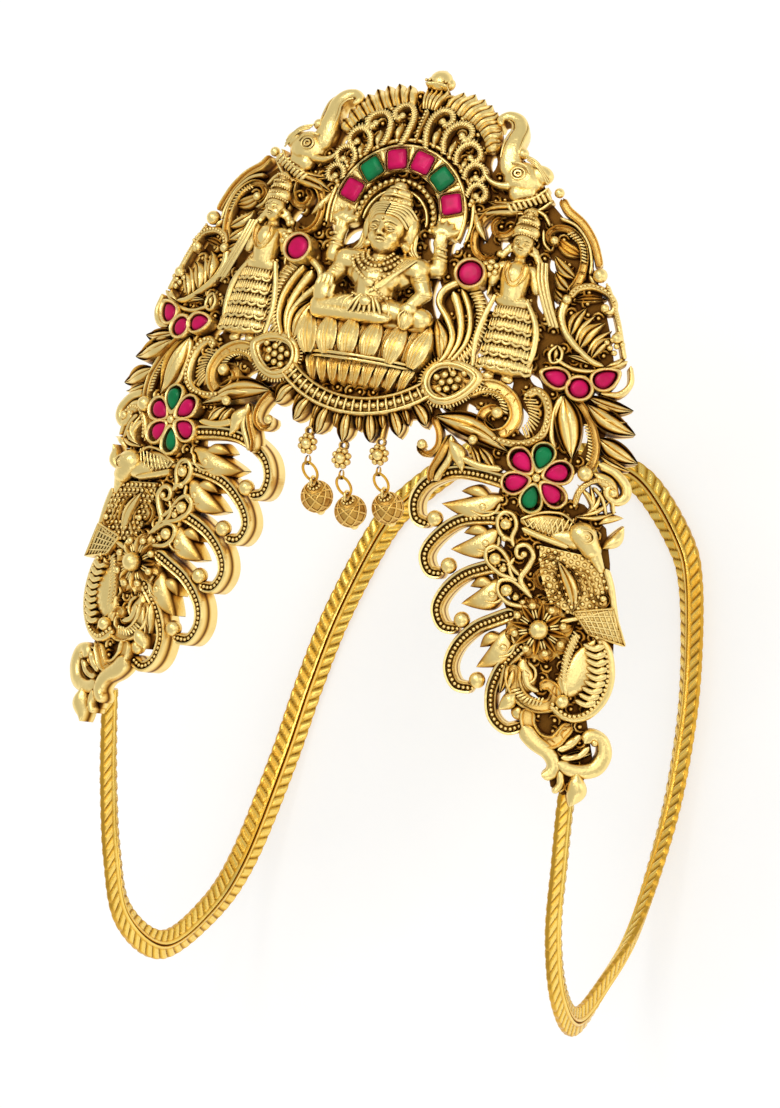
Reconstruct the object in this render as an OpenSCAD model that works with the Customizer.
// A bajuband (vanki): an armlet with a pierced, cast front plaque in the shape of an upturned V,
// and a slim strip that runs from the plaque's two tips round the back of the upper arm.
// It lies on its back: X is across the arm, Y along it towards the shoulder, Z up through the plaque.
// The origin is on the surface, under the middle of the piece.

/* [Plaque] */
// Width of the plaque over its two wings, mm
plaque_w = 92; // [84:0.5:100]
// Height of the plaque from the tip of a wing to the finial, mm
plaque_h = 104; // [96:0.5:112]
// Thickness of the plaque's ground plate, mm
plate_t = 1.5; // [1.2:0.1:2]
// How far the scrollwork stands over the ground plate, mm
scroll_rise = 1.1; // [0.8:0.1:1.6]
// How far leaves and petals stand over the ground plate, mm
leaf_rise = 1.6; // [1.2:0.1:2.2]
// Radius of the gentle curve across the front, mm
front_r = 110; // [100:5:160]
// Extra fall of the front at its outermost edge, mm
edge_fall = 3; // [1:0.5:4]
// How far the wings lean back for each mm below the flowers, mm
wing_lean = 0.24; // [0.15:0.01:0.3]
// How far the crest leans back for each mm above the halo
crest_lean = 0.34; // [0.2:0.01:0.4]
// How deep the scalloped edges of the wings reach behind the front of the ground plate, mm
scallop_depth = 3.2; // [2.4:0.1:4]

/* [Arm strip] */
// Width of the strip, mm
strip_w = 4.7; // [4:0.1:5.5]
// Thickness of the strip at its middle ridge, mm
strip_t = 2.3; // [1.8:0.1:2.8]
// Width of the strip's loop between centre lines at the front legs, mm
loop_w = 79; // [76:0.5:84]
// Reach of the loop from the plaque's tips to its lowest bend, mm
loop_drop = 31; // [26:0.5:36]
// Height of the plaque's front over the surface that the back of the loop lies on, mm
opening_h = 81.5; // [76:0.5:88]
// Reach of the back arch from its lowest bend to its apex, mm
arch_h = 94; // [86:0.5:98]

/* [Stones] */
// Side of a square stone in the halo, mm
square_side = 3; // [2.6:0.1:3.2]
// Diameter of a round stone beside the halo, mm
round_d = 3.8; // [3.2:0.1:4]
// Diameter of the middle stone of a triple, mm
middle_d = 3; // [2.6:0.1:3.1]
// Length of a pear stone in a flower or a triple, mm
pear_l = 3.6; // [3.2:0.1:3.8]
// Width of a pear stone, mm
pear_w = 2.6; // [2.2:0.1:2.7]
// Height of a stone, mm
stone_h = 1.2; // [1:0.1:1.5]
// Width of the metal rim round a stone, mm
rim_w = 0.5; // [0.4:0.05:0.55]

/* [Drops] */
// Diameter of a bead drop, mm
bead_d = 5; // [4.5:0.1:5.4]
// Diameter of the small ball under a bead, mm
end_ball_d = 1.4; // [1:0.1:1.8]
// Inside length of an oval jump ring, mm
ring_l = 3.4; // [3:0.1:3.9]
// Inside width of an oval jump ring, mm
ring_w = 1.9; // [1.7:0.1:2.2]
// Wire diameter of a jump ring, mm
wire_d = 0.45; // [0.35:0.05:0.5]
// Angle of a drop below level, degrees
drop_lean = 58; // [45:1:80]

/* [Hidden] */
SIDES = ["right", "left"];
HALO = [for (i = [1 : 6]) str("halo_stone_", i)];
FLOWERS = [for (s = SIDES, i = [1 : 6]) str("flower_stone_", s, "_", i)];
TRIPLES = [for (s = SIDES, i = [1 : 3]) str("triple_stone_", s, "_", i)];
ROUNDS = [for (s = SIDES) str("stalk_stone_", s)];
RINGS = [for (i = [1 : 3]) str("jump_ring_", i)];
DROPS = [for (i = [1 : 3]) str("bead_drop_", i)];

// Clearance between pieces that are seated in each other
seat_gap = 0.1;
// Step between the levels of overlapping patterns, so that none of their faces lie in one plane
level_step = 0.15;
// The chart below is drawn for a plaque of this width and height
chart_w = 92;
chart_h = 104;
sx = plaque_w / chart_w;
sy = plaque_h / chart_h;
// Chart height below which the wings lean back, and above which the crest does
lean_from = 8;
crest_from = 56;
// Where the finial stands, and how far it reaches past that
finial_y = 64;
finial_reach = 3.35;
// Height of the wings' tips, where the strip is seated
tip_y = -36;
// Shift along the arm that puts the origin under the middle of the whole length
mid_shift = (strip_w / 2 + loop_drop - (tip_y + finial_y + finial_reach) * sy) / 2;
// Height of the rim round a stone, over the ground plate
collet_rise = stone_h + 0.5;
// Depth of the floor under a stone, over the ground plate
collet_floor = 0.4;
gold = [0.83, 0.63, 0.26];
bright_gold = [0.9, 0.68, 0.2];
pink = [0.8, 0.03, 0.3];
green = [0.0, 0.4, 0.2];

// The curved front

function fall(x) = x * x / (2 * front_r) + edge_fall * pow(abs(x) / (plaque_w / 2), 4);
function fall_slope(x) = x / front_r + 4 * edge_fall * pow(abs(x) / (plaque_w / 2), 3) * sign(x) / (plaque_w / 2);
function lean(y) = wing_lean * max(0, lean_from * sy - y) + crest_lean * max(0, y - crest_from * sy);
function front_z(x, y) = opening_h - fall(x) - lean(y);

// Places its children on the front at a chart point, square to the surface
module seat(x, y, rise = 0) {
    tilt = y < lean_from ? atan(wing_lean) : y > crest_from ? -atan(crest_lean) : 0;
    translate([x * sx, y * sy, front_z(x * sx, y * sy)])
        rotate([tilt, atan(fall_slope(x * sx)), 0])
            translate([0, 0, rise])
                children();
}

// A slab that follows the front, from one rise over it to another
across = [-47, -38.9, -29.1, -16.1, 0, 16.1, 29.1, 38.9, 47];
along = [-42, lean_from, crest_from, 69];
module slab(low, high) {
    nx = len(across);
    ny = len(along);
    top = [for (y = along, x = across) [x * sx, y * sy, front_z(x * sx, y * sy) + high]];
    under = [for (y = along, x = across) [x * sx, y * sy, front_z(x * sx, y * sy) + low]];
    count = nx * ny;
    deck = [for (j = [0 : ny - 2], i = [0 : nx - 2])
        [j * nx + i, (j + 1) * nx + i, (j + 1) * nx + i + 1, j * nx + i + 1]];
    keel = [for (f = deck) [f[3] + count, f[2] + count, f[1] + count, f[0] + count]];
    front = [for (i = [0 : nx - 2]) [i, i + 1, i + 1 + count, i + count]];
    back = [for (i = [0 : nx - 2]) let (k = (ny - 1) * nx + i) [k + 1, k, k + count, k + 1 + count]];
    left = [for (j = [0 : ny - 2]) let (k = j * nx) [k + nx, k, k + count, k + nx + count]];
    right = [for (j = [0 : ny - 2]) let (k = j * nx + nx - 1) [k, k + nx, k + nx + count, k + count]];
    polyhedron(concat(top, under), concat(deck, keel, front, back, left, right));
}

// Cuts a flat pattern out of the slab between two rises
module sheet(low, high) {
    intersection() {
        translate([0, 0, opening_h - 30])
            linear_extrude(height = 40)
                scale([sx, sy])
                    children();
        slab(low, high);
    }
}

module both() {
    children();
    mirror([1, 0, 0]) children();
}

// Flat shapes of the scrollwork

function lerp(a, b, t) = a + (b - a) * t;
function bend(a, b, c, d, t) =
    0.5 * (2 * b + (c - a) * t + (2 * a - 5 * b + 4 * c - d) * t * t + (3 * b - a - 3 * c + d) * t * t * t);
function smooth(p, n) = let (m = len(p) - 1) concat(
    [for (i = [0 : m - 1], k = [0 : n - 1])
        bend(p[max(i - 1, 0)], p[i], p[i + 1], p[min(i + 2, m)], k / n)],
    [p[m]]);
function unit2(v) = v / max(norm(v), 1e-6);
function left_of(p, i) = let (m = len(p) - 1, d = unit2(p[min(i + 1, m)] - p[max(i - 1, 0)])) [-d[1], d[0]];

// A scroll of the given widths at its root and tip, along a route
module scroll(w0, w1, route, n = 1) {
    p = smooth(route, n);
    m = len(p) - 1;
    polygon(concat(
        [for (i = [0 : m]) p[i] + left_of(p, i) * lerp(w0, w1, i / m) / 2],
        [for (i = [m : -1 : 0]) p[i] - left_of(p, i) * lerp(w0, w1, i / m) / 2]));
}

// A pointed leaf from its base to its tip
module leaf(base, tip, w) {
    d = tip - base;
    s = [-d[1], d[0]] / norm(d) * w / 2;
    polygon([base, base + d * 0.25 + s * 0.9, base + d * 0.65 + s * 0.9, tip, base + d * 0.65 - s * 0.9,
        base + d * 0.25 - s * 0.9]);
}

// A gap between two scrolls, from one end to the other
module gap(start, end, w) {
    d = end - start;
    s = [-d[1], d[0]] / norm(d) * w / 2;
    polygon([start, start + d * 0.45 + s, end, start + d * 0.55 - s]);
}

module dot(x, y, r) {
    translate([x, y]) rotate(10) circle(r, $fn = 6);
}

// Chart of the plaque's right half, in mm from its middle line and from the middle of its length

// Scallops on the inner edge of a wing, top to bottom: the route of each curl, its leaf and its ball
scallops = [
    // curl, leaf base, leaf tip, ball
    [[[27, 5.2], [18, 5], [14.2, 2.8], [12.9, 0], [13.4, -2.4], [15.4, -3]], [26.4, 3.2], [17.4, 0], [16.3, -2.3]],
    [[[27.6, -0.2], [20, -2], [16.8, -5], [15.8, -7.8], [16.8, -9.8], [18.7, -9.8]], [27, -1.8], [19.5, -6.4], [19.4, -8.6]],
    [[[28.4, -6.8], [22, -9.7], [19.5, -12.5], [18.9, -15.3], [20.2, -17.4], [22.2, -17.3]], [28.2, -9], [22.4, -14], [22.6, -16]],
    [[[30.4, -13.6], [25, -17], [22.5, -20.2], [22, -23.4], [23.5, -25.6], [25.6, -25.6]], [30, -16], [26, -22.6], [26.3, -24.9]],
    [[[32.6, -17.6], [29.7, -22.5], [28.9, -25.8], [29.5, -29], [31.6, -30.3], [33.8, -29.3]], [32.5, -20], [31.6, -26.6], [33.2, -27.8]]];
curl_w = 1.7;

// Other scrolls: width at the root, width at the tip, route
scrolls = [
    // rim and outer scrolls of the shoulder
    [1.3, 1.3, [[22.5, 50.5], [28.5, 46.4], [31.4, 41.6], [34.6, 36], [39, 26]]],
    [1.1, 1, [[29.6, 38], [29.6, 42.6], [27, 45.8], [24.3, 43.8]]],
    [1.1, 1, [[28.2, 37], [28.6, 31.4], [31.4, 27.4], [36.6, 25.6]]],
    // scroll under the trunk
    [1.1, 1, [[17, 47.6], [13.2, 44.6], [13.4, 40.4], [16.2, 39.4]]],
    // stalks under the round stone
    [1.6, 1.2, [[14.65, 33.7], [16.8, 30], [17.2, 25.6], [13.6, 21]]],
    [1.5, 1, [[11.2, 33.5], [11.8, 30.2], [14, 26.6], [12.4, 21]]],
    // large spiral beside the paisley, and the beaded arc round it
    [2, 1.2, [[17, 17.2], [20, 18.9], [23.6, 17.6], [24.6, 14.4], [22.2, 12.8], [21.4, 15.6]]],
    [1.4, 1.3, [[25.6, 18.4], [28.8, 19], [29.6, 14.8], [26.6, 11.6], [22.5, 11.2]]],
    // links between the tray and the wing
    [1.3, 1, [[11.5, 13], [15.2, 10.4], [14.6, 7.4], [12.8, 8.2]]],
    [1.4, 1.3, [[16, 10.6], [15, 6.4], [15.4, 3.4]]],
    [1.4, 1.3, [[19.4, 7.6], [25.4, 7.2]]],
    // stems down to the wing
    [1.2, 1.2, [[33.6, 20.4], [37, 15.6], [36.8, 9.4], [34.6, 7]]],
    [1.6, 1.3, [[38, 13], [42.6, 10], [43.2, 7.2], [40, 7.4]]],
    // crest of the bird
    [1.3, 1.2, [[36, 8.6], [37.8, 6], [39.2, 2.6]]],
    [1.2, 1, [[41.4, 6.8], [43, 3.2], [41, -1]]],
    // loops beside the bird
    [0.9, 0.9, [[29.8, -2.6], [28, 1.6], [26, 0.6], [26.8, -2.4], [29.6, -3.4]]],
    [0.9, 0.9, [[29.8, -7.4], [27.2, -3.8], [25.2, -5.2], [26.4, -7.6], [29.4, -8.4]]],
    [0.9, 0.9, [[31.8, -11], [29.2, -7.8], [27.6, -9.4], [28.8, -11.6], [31.4, -11.8]]],
    // plumes of the bird
    [1.3, 1.1, [[33, -10], [32.4, -6.4], [35.6, -6], [34.6, -8.8]]],
    [1.2, 1, [[38.8, -4.6], [41.6, -6.6], [40.8, -9.2]]],
    // rim of the feathered paisley
    [1.3, 1.3, [[43.6, -13], [45.2, -18], [44.2, -23.6], [40.8, -26.4], [37.2, -24.8]]],
    // scrolls over the tip
    [1.4, 1.1, [[31.8, -20.6], [32.4, -24.4], [36, -24.8], [35.8, -22]]],
    [1.5, 1.5, [[34.4, -25.8], [34.6, -29.4], [39, -30.2], [41.6, -27]]],
    [2, 1, [[33.6, -28.6], [38.4, -32.4], [38, -35.6]]],
    [1.3, 1.3, [[39.4, -33.8], [44, -33.2], [45.6, -30.2], [42.4, -29]]]];

// Leaves: base, tip, width
leaves = [
    [[13.6, 12.8], [25.4, 9.4], 3.4],
    [[18.8, 10], [18.6, 4.8], 2.6],
    [[31, 20], [35, 11], 3.6],
    [[34.6, 20.4], [42, 20], 2.6],
    [[35.6, 18.4], [43, 16], 2.8],
    [[37, 15], [43.6, 11.4], 2.8],
    [[12, 46.4], [18.6, 47.8], 2.2],
    [[29.4, 38], [25.2, 40.6], 2.6],
    [[31, 28.4], [31.2, 34.2], 2],
    [[33.6, 27.2], [34.8, 32.8], 2.4],
    [[12.6, 21], [11.4, 28], 2.2],
    [[37.4, 1.6], [29.4, 0.2], 3.6],
    [[40.6, -14.6], [40.8, -25], 5.4],
    [[37.8, -31.2], [43, -31], 2.4],
    [[42, -33], [42.6, -38.6], 2.8]];

// Balls: place and radius
balls = [
    [27.4, 0, 0.9], [26.8, -5.4, 0.9], [29, -9.6, 0.9], [36.8, 9.4, 1.1], [32.6, 39.6, 1.4], [38, -23.4, 1.1],
    [36.2, 29.6, 1.6], [33.2, -27.8, 1]];

// Tail of the bird, a latticed fan of feathers
tail = [[38.4, -11.4], [43.8, -9.2], [46, -14.4], [41, -13.8]];

// Ground plate behind the figures, right half from the finial down and back along the lower edge
ground = [[0, 64], [6, 62.2], [12.6, 56.4], [17.4, 55.4], [22.4, 51.4], [23, 48.6], [29, 44.4], [34, 36], [37.4, 27], [38.8, 15],
    [34, 6], [25, 7], [16, 12], [0, 11]];
// Ground plate behind the bird and the feathers
wing_ground = [[25.6, 5], [41, 3], [43, -8], [44.8, -17], [43, -26], [37.6, -26], [31, -20.5], [29, -13], [26.45, -9.25],
    [25.2, -3]];
// Base under the tip, where the strip is seated
tip_ground = [[34, -27.4], [42.4, -26.4], [44.1, -31.5], [43, -37], [39, -37.6], [37.6, -33]];

// Recessed panels behind the figures: right half of the middle one, and the one behind the right attendant
middle_panel = [[0, 49.6], [4.7, 47.7], [6.6, 43], [7.4, 38], [10.4, 34], [10.6, 28], [9, 17.8], [0, 16.2]];
side_panel = [[18.2, 39.6], [24, 41], [27.4, 36], [27.4, 23], [19.4, 20.4], [18.4, 30]];

// Gaps cut through the ground of the right half: one end, other end, width
gaps = [
    [[9.6, 38.6], [11.8, 43.4], 1.8],
    [[8.6, 37.6], [5.8, 40.4], 1.7],
    [[8.6, 34.2], [10, 28], 1.6],
    [[14.4, 59], [13.8, 55.8], 1.1],
    [[17, 42.4], [18.8, 40], 1.6],
    [[25, 40.8], [26.6, 38.4], 1.4],
    [[15.1, 33.5], [18.8, 31], 2.3],
    [[24.4, 35.2], [25.8, 32.2], 1],
    [[17.6, 26.4], [18.8, 21.4], 1.5],
    [[18.8, 21.6], [21, 19], 1.8],
    [[22.2, 21.4], [23.8, 19], 1.5],
    [[26, 22.4], [28.6, 20.6], 1.2],
    [[18.2, 16.4], [20.4, 13], 1.8],
    [[26, 17.4], [27.8, 12.8], 1.8],
    [[13.4, 15], [17, 13], 1.1],
    [[36, 22.2], [37.2, 19.2], 1],
    [[30.2, 19], [31.2, 13], 1.2],
    [[35.8, 17.4], [36, 11.6], 1.4],
    [[27.8, 44], [26.2, 42], 1.2],
    [[14.8, 45], [14.4, 40.8], 1.4],
    [[37.2, -16], [38.1, -12.4], 1.1]];

// Halo round the head
halo_y = 43;
halo_r = 11;
halo_angles = [19, 48, 76, 104, 132, 161];
stone_ring_r = 8.9;

// Curls in a fan over the halo: angle about the halo's middle, reach, size
fan_curls = [[80, 16.4, 2.1], [66, 15.6, 2], [52, 14.2, 1.9], [38, 13.2, 1.8], [23, 12.6, 1.6]];
// Ridged lobes beside the finial: base and tip of each ridge
lobes = [[[2.6, 60.6], [3.4, 64.8]], [[4.4, 60.4], [6, 64.4]], [[6.2, 60], [8.4, 63.2]], [[8, 59.4], [10.6, 61.8]],
    [[9.8, 58.4], [12.2, 60]]];

// Tray under the throne: an arc of square cells with petals below it
tray_y = 29.8;
tray_r = 17.6;
tray_w = 2.2;
tray_half_angle = 37;
ray_angles = [-44, -33, -22, -11, 0, 11, 22, 33, 44];
ray_tip_r = 22.8;

// Flower of six pear stones and triple of stones on the right wing
flower_at = [30.8, 6.9];
petal_angles = [85, 145, 205, 265, 325, 25];
petal_r = 1.3;
triple = [
    // x, y, angle of the point, -1 where the stone is round
    [30.1, 22.4, 170], [33.7, 21.6, -1], [36.9, 24, 45]];
round_at = [14.4, 35.4];
// How far the round stone's cup stands over the others
round_rise = 1.4;
blossom_at = [34.2, -15];
paisley_at = [15, 18.6];

// Stones and their settings

function ring_points(n, r) = [for (i = [0 : n - 1]) r * [cos(360 * (i + 0.5) / n), sin(360 * (i + 0.5) / n)]];
// Outline of a pear with its point along +X, standing on its middle
function pear_points(l, w, grow = 0) = let (r = w / 2 + grow, tip = l - w / 2 + grow * 1.5, back = (l - w) / 2)
    concat([for (a = [60 : 60 : 301]) [r * cos(a) - back, r * sin(a)]],
        [[(tip + r) / 2 - back, -r * 0.56], [tip - back, 0], [(tip + r) / 2 - back, r * 0.56]]);
function square_points(s) = let (a = s / 2, b = a * 0.66)
    [[a, b], [b, a], [-b, a], [-a, b], [-a, -b], [-b, -a], [b, -a], [a, -b]];

// A stone with a girdle, a ring of facets and a table
module cut_stone(outline) {
    n = len(outline);
    rise = [0, stone_h * 0.45, stone_h];
    inset = [1, 1, 0.62];
    points = [for (k = [0 : 2], p = outline) [p[0] * inset[k], p[1] * inset[k], rise[k]]];
    sides = [for (k = [0 : 1], i = [0 : n - 1]) let (j = (i + 1) % n)
        [k * n + i, (k + 1) * n + i, (k + 1) * n + j, k * n + j]];
    polyhedron(points, concat(sides, [[for (i = [0 : n - 1]) i]], [[for (i = [n - 1 : -1 : 0]) 2 * n + i]]));
}

// The metal cup round a stone, and the pocket in it that leaves the stone its clearance
module cup() {
    translate([0, 0, -plate_t / 2]) linear_extrude(height = plate_t / 2 + collet_rise) children();
}
module pocket() {
    translate([0, 0, collet_floor]) linear_extrude(height = collet_rise + leaf_rise) children();
}

stone_lift = collet_floor + seat_gap;

module square_seat(i) {
    a = halo_angles[i];
    seat(stone_ring_r * cos(a), halo_y + stone_ring_r * sin(a)) rotate([0, 0, a]) children();
}
module petal_place(i) {
    rotate([0, 0, petal_angles[i]]) translate([petal_r + pear_l / 2, 0, 0]) rotate([0, 0, 180]) children();
}
module petal_seat(i) {
    seat(flower_at[0], flower_at[1]) petal_place(i) children();
}
module triple_seat(i) {
    t = triple[i];
    seat(t[0], t[1]) rotate([0, 0, max(t[2], 0)]) children();
}
module on_side(side) {
    mirror([side == 1 ? 1 : 0, 0, 0]) children();
}

module halo_stone(i) {
    square_seat(i) translate([0, 0, stone_lift]) cut_stone(square_points(square_side));
}
module flower_stone(side, i) {
    on_side(side) petal_seat(i) translate([0, 0, stone_lift]) cut_stone(pear_points(pear_l, pear_w));
}
module triple_stone(side, i) {
    outline = triple[i][2] < 0 ? ring_points(10, middle_d / 2) : pear_points(pear_l, pear_w);
    on_side(side) triple_seat(i) translate([0, 0, stone_lift]) cut_stone(outline);
}
module stalk_stone(side) {
    on_side(side) seat(round_at[0], round_at[1], round_rise + stone_lift) cut_stone(ring_points(10, round_d / 2));
}

module square_outline(grow) {
    square(square_side + 2 * grow, center = true);
}
module pear_outline(grow) {
    polygon(pear_points(pear_l, pear_w, grow));
}
module triple_outline(i, grow) {
    if (triple[i][2] < 0) polygon(ring_points(10, middle_d / 2 + grow));
    else pear_outline(grow);
}

module cups() {
    for (i = [0 : 5]) square_seat(i) cup() square_outline(rim_w);
    for (side = [0, 1]) on_side(side) {
        seat(flower_at[0], flower_at[1]) cup() {
            circle(petal_r + rim_w, $fn = 8);
            for (i = [0 : 5]) petal_place(i) pear_outline(rim_w);
        }
        for (i = [0 : 2]) triple_seat(i) cup() triple_outline(i, rim_w);
        seat(round_at[0], round_at[1], round_rise) cup() polygon(ring_points(10, round_d / 2 + rim_w));
    }
}

module pockets() {
    for (i = [0 : 5]) square_seat(i) pocket() square_outline(seat_gap);
    for (side = [0, 1]) on_side(side) {
        seat(flower_at[0], flower_at[1]) pocket() for (i = [0 : 5]) petal_place(i) pear_outline(seat_gap);
        for (i = [0 : 2]) triple_seat(i) pocket() triple_outline(i, seat_gap);
        seat(round_at[0], round_at[1], round_rise) pocket() polygon(ring_points(10, round_d / 2 + seat_gap));
    }
}

// Flat parts of the plaque

module scroll_pattern() {
    both() {
        for (s = scrolls) scroll(s[0], s[1], s[2]);
        for (b = balls) dot(b[0], b[1], b[2]);
        for (c = fan_curls) fan_curl(c[0], c[1], c[2]);
        polygon(tail);
    }
}

module scallop_pattern() {
    both() for (s = scallops) {
        scroll(curl_w, curl_w * 0.8, s[0]);
        dot(s[3][0], s[3][1], 1.2);
    }
}

module leaf_pattern() {
    both() {
        for (s = scallops) leaf(s[1], s[2], 2.6);
        for (l = leaves) leaf(l[0], l[1], l[2]);
        for (l = lobes) leaf(l[0], l[1], 2.1);
        for (k = [0 : 7]) blossom_petal(45 * k);
        translate(blossom_at) circle(2.2, $fn = 8);
    }
    for (a = ray_angles)
        leaf(tray_point(a, tray_r + tray_w / 2 - 0.4), tray_point(a, ray_tip_r), 2.5);
}

module blossom_petal(a) {
    translate(blossom_at) rotate(a) leaf([1, 0], [4.9, 0], 2.6);
}

function halo_point(a, r) = [r * cos(a), halo_y + r * sin(a)];
function tray_point(a, r) = [r * sin(a), tray_y - r * cos(a)];

module fan_curl(a, r, size) {
    scroll(0.9, 0.7, [halo_point(a, halo_r - 0.5), halo_point(a + 3, r - size * 0.4), halo_point(a - 1, r + size * 0.7),
        halo_point(a - 8, r + size * 0.3), halo_point(a - 7, r - size * 0.6)]);
}

module half_ground(points) {
    p = concat(points, [for (i = [len(points) - 1 : -1 : 0]) [-points[i][0], points[i][1]]]);
    polygon(p);
}

module ground_pattern() {
    difference() {
        union() {
            half_ground(ground);
            both() {
                polygon(wing_ground);
                polygon(tip_ground);
            }
        }
        both() for (g = gaps) gap(g[0], g[1], g[2]);
    }
}

module panel_pattern() {
    half_ground(middle_panel);
    both() polygon(side_panel);
}

module halo_pattern() {
    difference() {
        translate([0, halo_y]) circle(halo_r, $fn = 28);
        translate([-halo_r - 1, halo_y - 2 * halo_r]) square([2 * halo_r + 2, 2 * halo_r]);
        translate([0, halo_y]) circle(stone_ring_r - square_side / 2 - rim_w - 0.2, $fn = 20);
    }
}

module tray_pattern() {
    p = [for (a = [-tray_half_angle : tray_half_angle / 6 : tray_half_angle + 0.1]) tray_point(a, tray_r)];
    scroll(tray_w, tray_w, p, 1);
    for (i = [0 : 2]) rosette_pattern(i);
}

// Rosettes that carry the drops
rosettes = [[-6.1, 5.6], [0, 4.2], [6.1, 5.6]];
rosette_r = 1.7;
module rosette_pattern(i) {
    c = rosettes[i];
    translate(c) circle(rosette_r, $fn = 10);
    scroll(1.3, 1.3, [c, tray_point(atan(c[0] / (tray_y - c[1])), tray_r)], 1);
}

// Rounded parts of the plaque, each a hull

module blob(a, ra, b, rb, sides = 5) {
    hull() {
        translate(a) sphere(ra, $fn = sides);
        translate(b) sphere(rb, $fn = sides);
    }
}

// Places its children over the level middle of the front, with chart heights of their own
module over_middle() {
    seat(0, halo_y) translate([0, -halo_y, 0]) children();
}

// The seated goddess on her lotus, over the middle of the ground
module seated_figure() {
    over_middle() {
        blob([0, 41.2, 2.8], 2.7, [0, 42.4, 2.5], 2.7, 6);
        blob([0, 44, 2.4], 2.2, [0, 47, 2], 1.2);
        blob([-3.8, 36.2, 1.2], 2, [3.8, 36.2, 1.2], 2);
        blob([0, 38.6, 1.4], 2.4, [0, 29.5, 1.2], 2.6);
        blob([-6.5, 27.4, 1], 2.3, [6.5, 27.4, 1], 2.3);
        for (s = [-1, 1]) {
            blob([s * 5, 36, 1.2], 1.5, [s * 7.4, 31.4, 1.8], 1.3);
            blob([s * 5, 36, 0.8], 1.3, [s * 8.2, 36, 0.8], 1.2, 4);
            blob([s * 8.2, 36, 0.8], 1.2, [s * 7.8, 42, 1.2], 1.3, 4);
        }
    }
}

// Rows of petals on the throne: height, half spread, length, how far they stand out
throne_rows = [[26, 10.2, -6, 4], [19.4, 7.2, -3.6, 1.8]];
row_petals = 5;
module throne() {
    over_middle() {
        for (row = throne_rows, i = [0 : row_petals - 1]) {
            x = lerp(-row[1], row[1], i / (row_petals - 1));
            blob([x, row[0] - 1.6, row[3] * 0.6], 2, [x * 0.8, row[0] + row[2], 0.4], 1, 4);
        }
        blob([-9.6, 25.8, 0.8], 2.2, [9.6, 25.8, 0.8], 2.2, 4);
    }
}

module attendant() {
    seat(21.4, 32) {
        blob([0, 10.4, 1.4], 2, [-0.2, 14.6, 0.9], 1);
        blob([-1.8, 6, 0.8], 1.6, [1.8, 6, 0.8], 1.6);
        blob([0, 5.6, 1], 1.8, [0.3, 0.6, 0.9], 1.9);
        hull() {
            translate([0.3, 0.6, 0.8]) sphere(2, $fn = 5);
            translate([-1.4, -10.6, 0.6]) sphere(1.8, $fn = 5);
            translate([2.4, -10.6, 0.6]) sphere(1.8, $fn = 5);
        }
        blob([-2.6, 5.6, 0.8], 1, [-4.4, 3.4, 1.2], 0.9, 4);
        blob([4, 7.6, 0.4], 0.8, [5.2, -8, 0.4], 0.8, 4);
    }
}

module elephant() {
    seat(18, 51.6, scroll_rise / 2) {
        blob([-0.8, 1.2, 0.8], 2.6, [3, -0.6, 0.4], 1.8, 6);
        blob([-1.8, 2.6, 0.6], 1.6, [-3.4, 7.2, 0.6], 1.1);
        blob([-3.4, 7.2, 0.6], 1.1, [-6.6, 8.8, 0.6], 0.7);
        blob([-2, -0.6, 1], 0.8, [-5, 0.4, 1], 0.6, 4);
    }
}

module bird() {
    seat(39, 0.4) {
        blob([0, 0, 1.2], 2.1, [-1.6, 0.6, 1], 1.8);
        blob([1.2, -0.8, 1], 1.5, [2.6, -3.6, 0.6], 0.9);
    }
}

module finial() {
    seat(0, finial_y) {
        blob([0, 0.8, 0.4], 2.2, [0, 1.2, 0.4], 1.9);
        blob([0, 2.6, 0.4], 0.7, [0, 3, 0.4], 0.5);
        blob([0, -1.2, 0.2], 1.7, [0, -3.2, 0.2], 1.2);
    }
}

module paisley() {
    seat(paisley_at[0], paisley_at[1]) hull() {
        translate([0, 0, -plate_t]) cylinder(h = plate_t + leaf_rise, r = 3.4, $fn = 10);
        translate([3.6, 3, -plate_t]) cylinder(h = plate_t + leaf_rise, r = 0.4, $fn = 6);
    }
}

// Eyes through which the jump rings pass

eye_r = 0.75;
eye_wire = 0.4;
eye_out = rosette_r + eye_r;
function eye_at(i) = let (c = rosettes[i], x = c[0] * sx, y = c[1] * sy - eye_out) [x, y, front_z(x, y) - plate_t / 2];
module eye(i) {
    translate(eye_at(i)) rotate([0, 90, 0]) rotate_extrude($fn = 10) translate([eye_r, 0]) circle(eye_wire / 2, $fn = 5);
}

// The casting without its figures: pierced scrollwork with recessed panels, and the stones' cups
module openwork() {
    difference() {
        union() {
            sheet(-plate_t, scroll_rise) {
                ground_pattern();
                scroll_pattern();
                halo_pattern();
                tray_pattern();
            }
            sheet(-scallop_depth, scroll_rise + level_step) scallop_pattern();
            sheet(level_step - plate_t, leaf_rise) leaf_pattern();
        }
        sheet(0, leaf_rise + 1) panel_pattern();
    }
    cups();
}

module front_plaque() {
    color(gold) union() {
        difference() {
            openwork();
            pockets();
        }
        both() {
            attendant();
            elephant();
            bird();
            paisley();
            seat(blossom_at[0], blossom_at[1], leaf_rise) sphere(2, $fn = 6);
        }
        seated_figure();
        throne();
        finial();
        for (i = [0 : 2]) eye(i);
    }
}

// The arm strip

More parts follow.
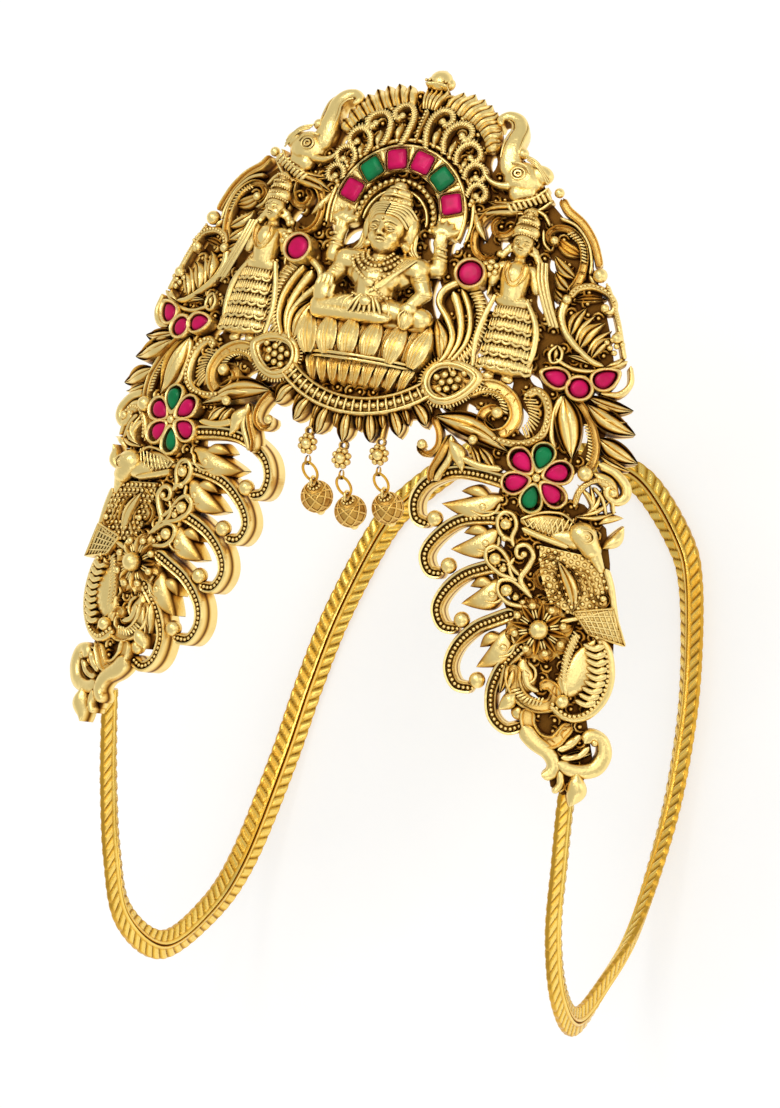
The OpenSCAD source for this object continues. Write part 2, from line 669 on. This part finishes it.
// Route of its right half from the plaque's tip to the apex of the back arch
strip_route = [
    // share of half the loop's width, of the drop below the tips, of the arch behind, of the opening
    [1.01, 0.08, 0, 0.713], [1, -0.1, 0, 0.688], [0.99, -0.36, 0, 0.64], [0.972, -0.68, 0, 0.57],
    [0.962, -0.94, 0, 0.465], [0.92, -1, 0, 0.31], [0.886, -1, 0.088, 0.178], [0.878, -1, 0.2, 0.087],
    [0.863, -1, 0.385, 0.034], [0.84, -1, 0.53, 0.0229], [0.795, -1, 0.66, 0.0213], [0.7, -1, 0.81, 0.0175],
    [0.6, -1, 0.885, 0.0143], [0.4, -1, 0.968, 0.0141], [0.22, -1, 0.994, 0.0141], [0, -1, 1, 0.0141]];
// The strip's upper end is seated in the tip, and so follows the plaque where its width or the opening changes
seat_x = 39.9;
seat_y = -33.52;
// Depth of the strip's centre line there, behind the front
seat_depth = 4.49;
seat_share = strip_route[0][3];
seat_z = front_z(seat_x * sx, seat_y * sy) - seat_depth;
widened = (plaque_w - chart_w) / 2 * seat_x / (chart_w / 2);
half_route = [for (r = strip_route) [
    r[0] * loop_w / 2 + widened * r[3] / seat_share,
    tip_y * sy + r[1] * loop_drop + r[2] * arch_h,
    r[3] * opening_h + (seat_z - seat_share * opening_h) * pow(r[3] / seat_share, 4)]];
route = smooth(concat(half_route, [for (i = [len(half_route) - 2 : -1 : 0])
    [-half_route[i][0], half_route[i][1], half_route[i][2]]]), 2);

function unit(v) = v / norm(v);
// The strip's broad face looks away from the arm
function face_out(p) = let (x = p[0] / (loop_w / 2), z = (p[2] - opening_h / 2) / (opening_h / 2))
    unit([pow(abs(x), 3) * sign(x), 0, pow(abs(z), 3) * sign(z)]);
function ahead(i) = unit(route[min(i + 1, len(route) - 1)] - route[max(i - 1, 0)]);
function strip_ring(i) = let (
    t = ahead(i),
    n0 = face_out(route[i]),
    n = unit(n0 - t * (n0 * t)),
    s = cross(t, n),
    w = strip_w / 2,
    h = strip_t / 2,
    e = strip_t * 0.3)
    [for (q = [[w, e], [0, h], [-w, e], [-w, -e], [0, -h], [w, -e]]) route[i] + s * q[0] + n * q[1]];

module arm_strip() {
    k = 6;
    m = len(route);
    points = [for (i = [0 : m - 1], p = strip_ring(i)) p];
    sides = [for (i = [0 : m - 2], j = [0 : k - 1]) let (a = i * k + j, b = i * k + (j + 1) % k)
        [a, b, b + k, a + k]];
    triangles = [for (f = sides, t = [[f[0], f[1], f[2]], [f[0], f[2], f[3]]]) t];
    color(bright_gold)
        polyhedron(points, concat(triangles, [[for (j = [k - 1 : -1 : 0]) j]], [[for (j = [0 : k - 1]) (m - 1) * k + j]]));
}

// Drops

drop_dir = [0, -cos(drop_lean), -sin(drop_lean)];
ring_span = ring_l / 2 - eye_wire / 2 - 0.12;
function ring_at(i) = eye_at(i) + drop_dir * (eye_r + ring_span);
function bead_eye_at(i) = ring_at(i) + drop_dir * (ring_span + eye_r);

module jump_ring(i) {
    n = 14;
    k = 6;
    across_dir = [1, 0, 0];
    points = [for (a = [0 : n - 1]) let (
        c = cos(360 * a / n),
        s = sin(360 * a / n),
        centre = drop_dir * c * (ring_l + wire_d) / 2 + across_dir * s * (ring_w + wire_d) / 2,
        out = unit(drop_dir * c * ring_w + across_dir * s * ring_l),
        up = cross(drop_dir, across_dir))
        for (j = [0 : k - 1]) ring_at(i) + centre + wire_d / 2 * (out * cos(360 * j / k) + up * sin(360 * j / k))];
    faces = [for (a = [0 : n - 1], j = [0 : k - 1]) let (b = (a + 1) % n, l = (j + 1) % k)
        each [[a * k + j, b * k + j, b * k + l], [a * k + j, b * k + l, a * k + l]]];
    color(bright_gold) polyhedron(points, faces);
}

module bead_drop(i) {
    reach = eye_r + bead_d / 2;
    color(gold) translate(bead_eye_at(i)) rotate([drop_lean - 90, 0, 0]) {
        rotate([0, 90, 0]) rotate_extrude($fn = 24) translate([eye_r, 0]) circle(eye_wire / 2, $fn = 16);
        translate([0, 0, -reach]) sphere(bead_d / 2, $fn = 32);
        translate([0, 0, -reach - bead_d / 2 - end_ball_d * 0.35]) sphere(end_ball_d / 2, $fn = 24);
    }
}

module pieces() {
    front_plaque();
    arm_strip();
    for (i = [0 : 5]) color(i % 3 == 1 ? green : pink) halo_stone(i);
    for (side = [0, 1], i = [0 : 5]) color(i % 3 == 0 ? green : pink) flower_stone(side, i);
    for (side = [0, 1], i = [0 : 2]) color(pink) triple_stone(side, i);
    for (side = [0, 1]) color(pink) stalk_stone(side);
    for (i = [0 : 2]) jump_ring(i);
    for (i = [0 : 2]) bead_drop(i);
}

translate([0, mid_shift, 0]) pieces();
